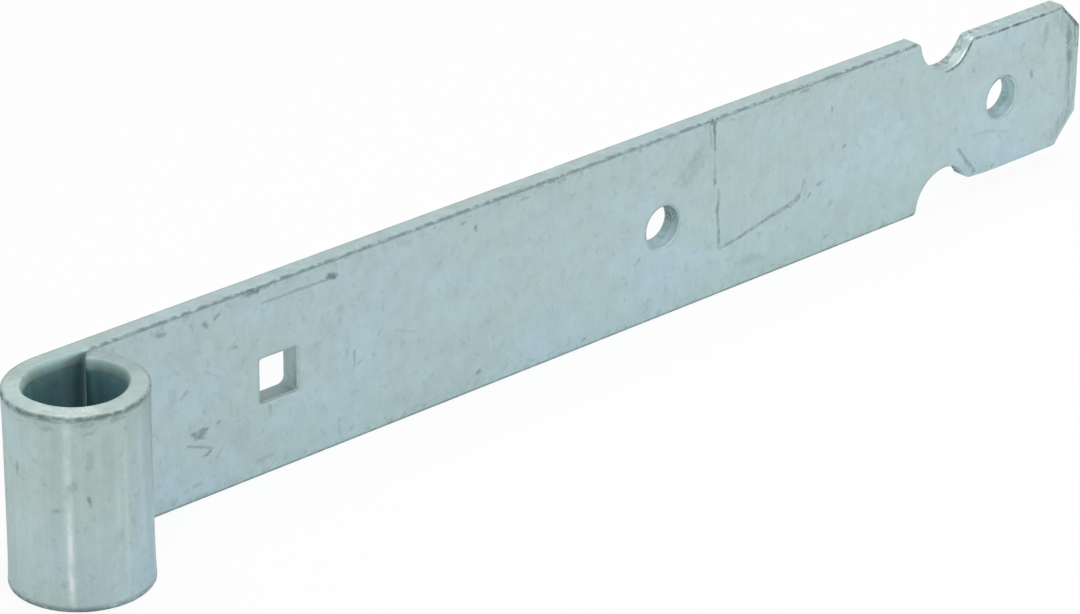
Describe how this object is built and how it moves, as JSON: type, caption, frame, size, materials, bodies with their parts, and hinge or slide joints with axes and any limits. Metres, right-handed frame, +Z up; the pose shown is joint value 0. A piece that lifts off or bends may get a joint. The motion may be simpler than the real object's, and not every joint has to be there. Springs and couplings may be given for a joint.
{
  "type": "gate hinge band",
  "caption": "Flat steel gate band on edge, rolled at one end into a pin eye, with a square hole, round bolt holes and a notched head.",
  "frame": {"origin": "on the axis of the pin eye, half way up the strip's width", "axes": "+X from the eye along the strap to its head, +Y from the strap's front face to its back face, +Z up along the eye's axis"},
  "size_m": [0.2957, 0.0274, 0.04],
  "materials": {
    "zinc_plated_steel": "bright zinc plate with a blue-green passivated tint, satin, scuffed"
  },
  "bodies": {
    "root": {"band": "zinc_plated_steel"}
  },
  "joints": []
}
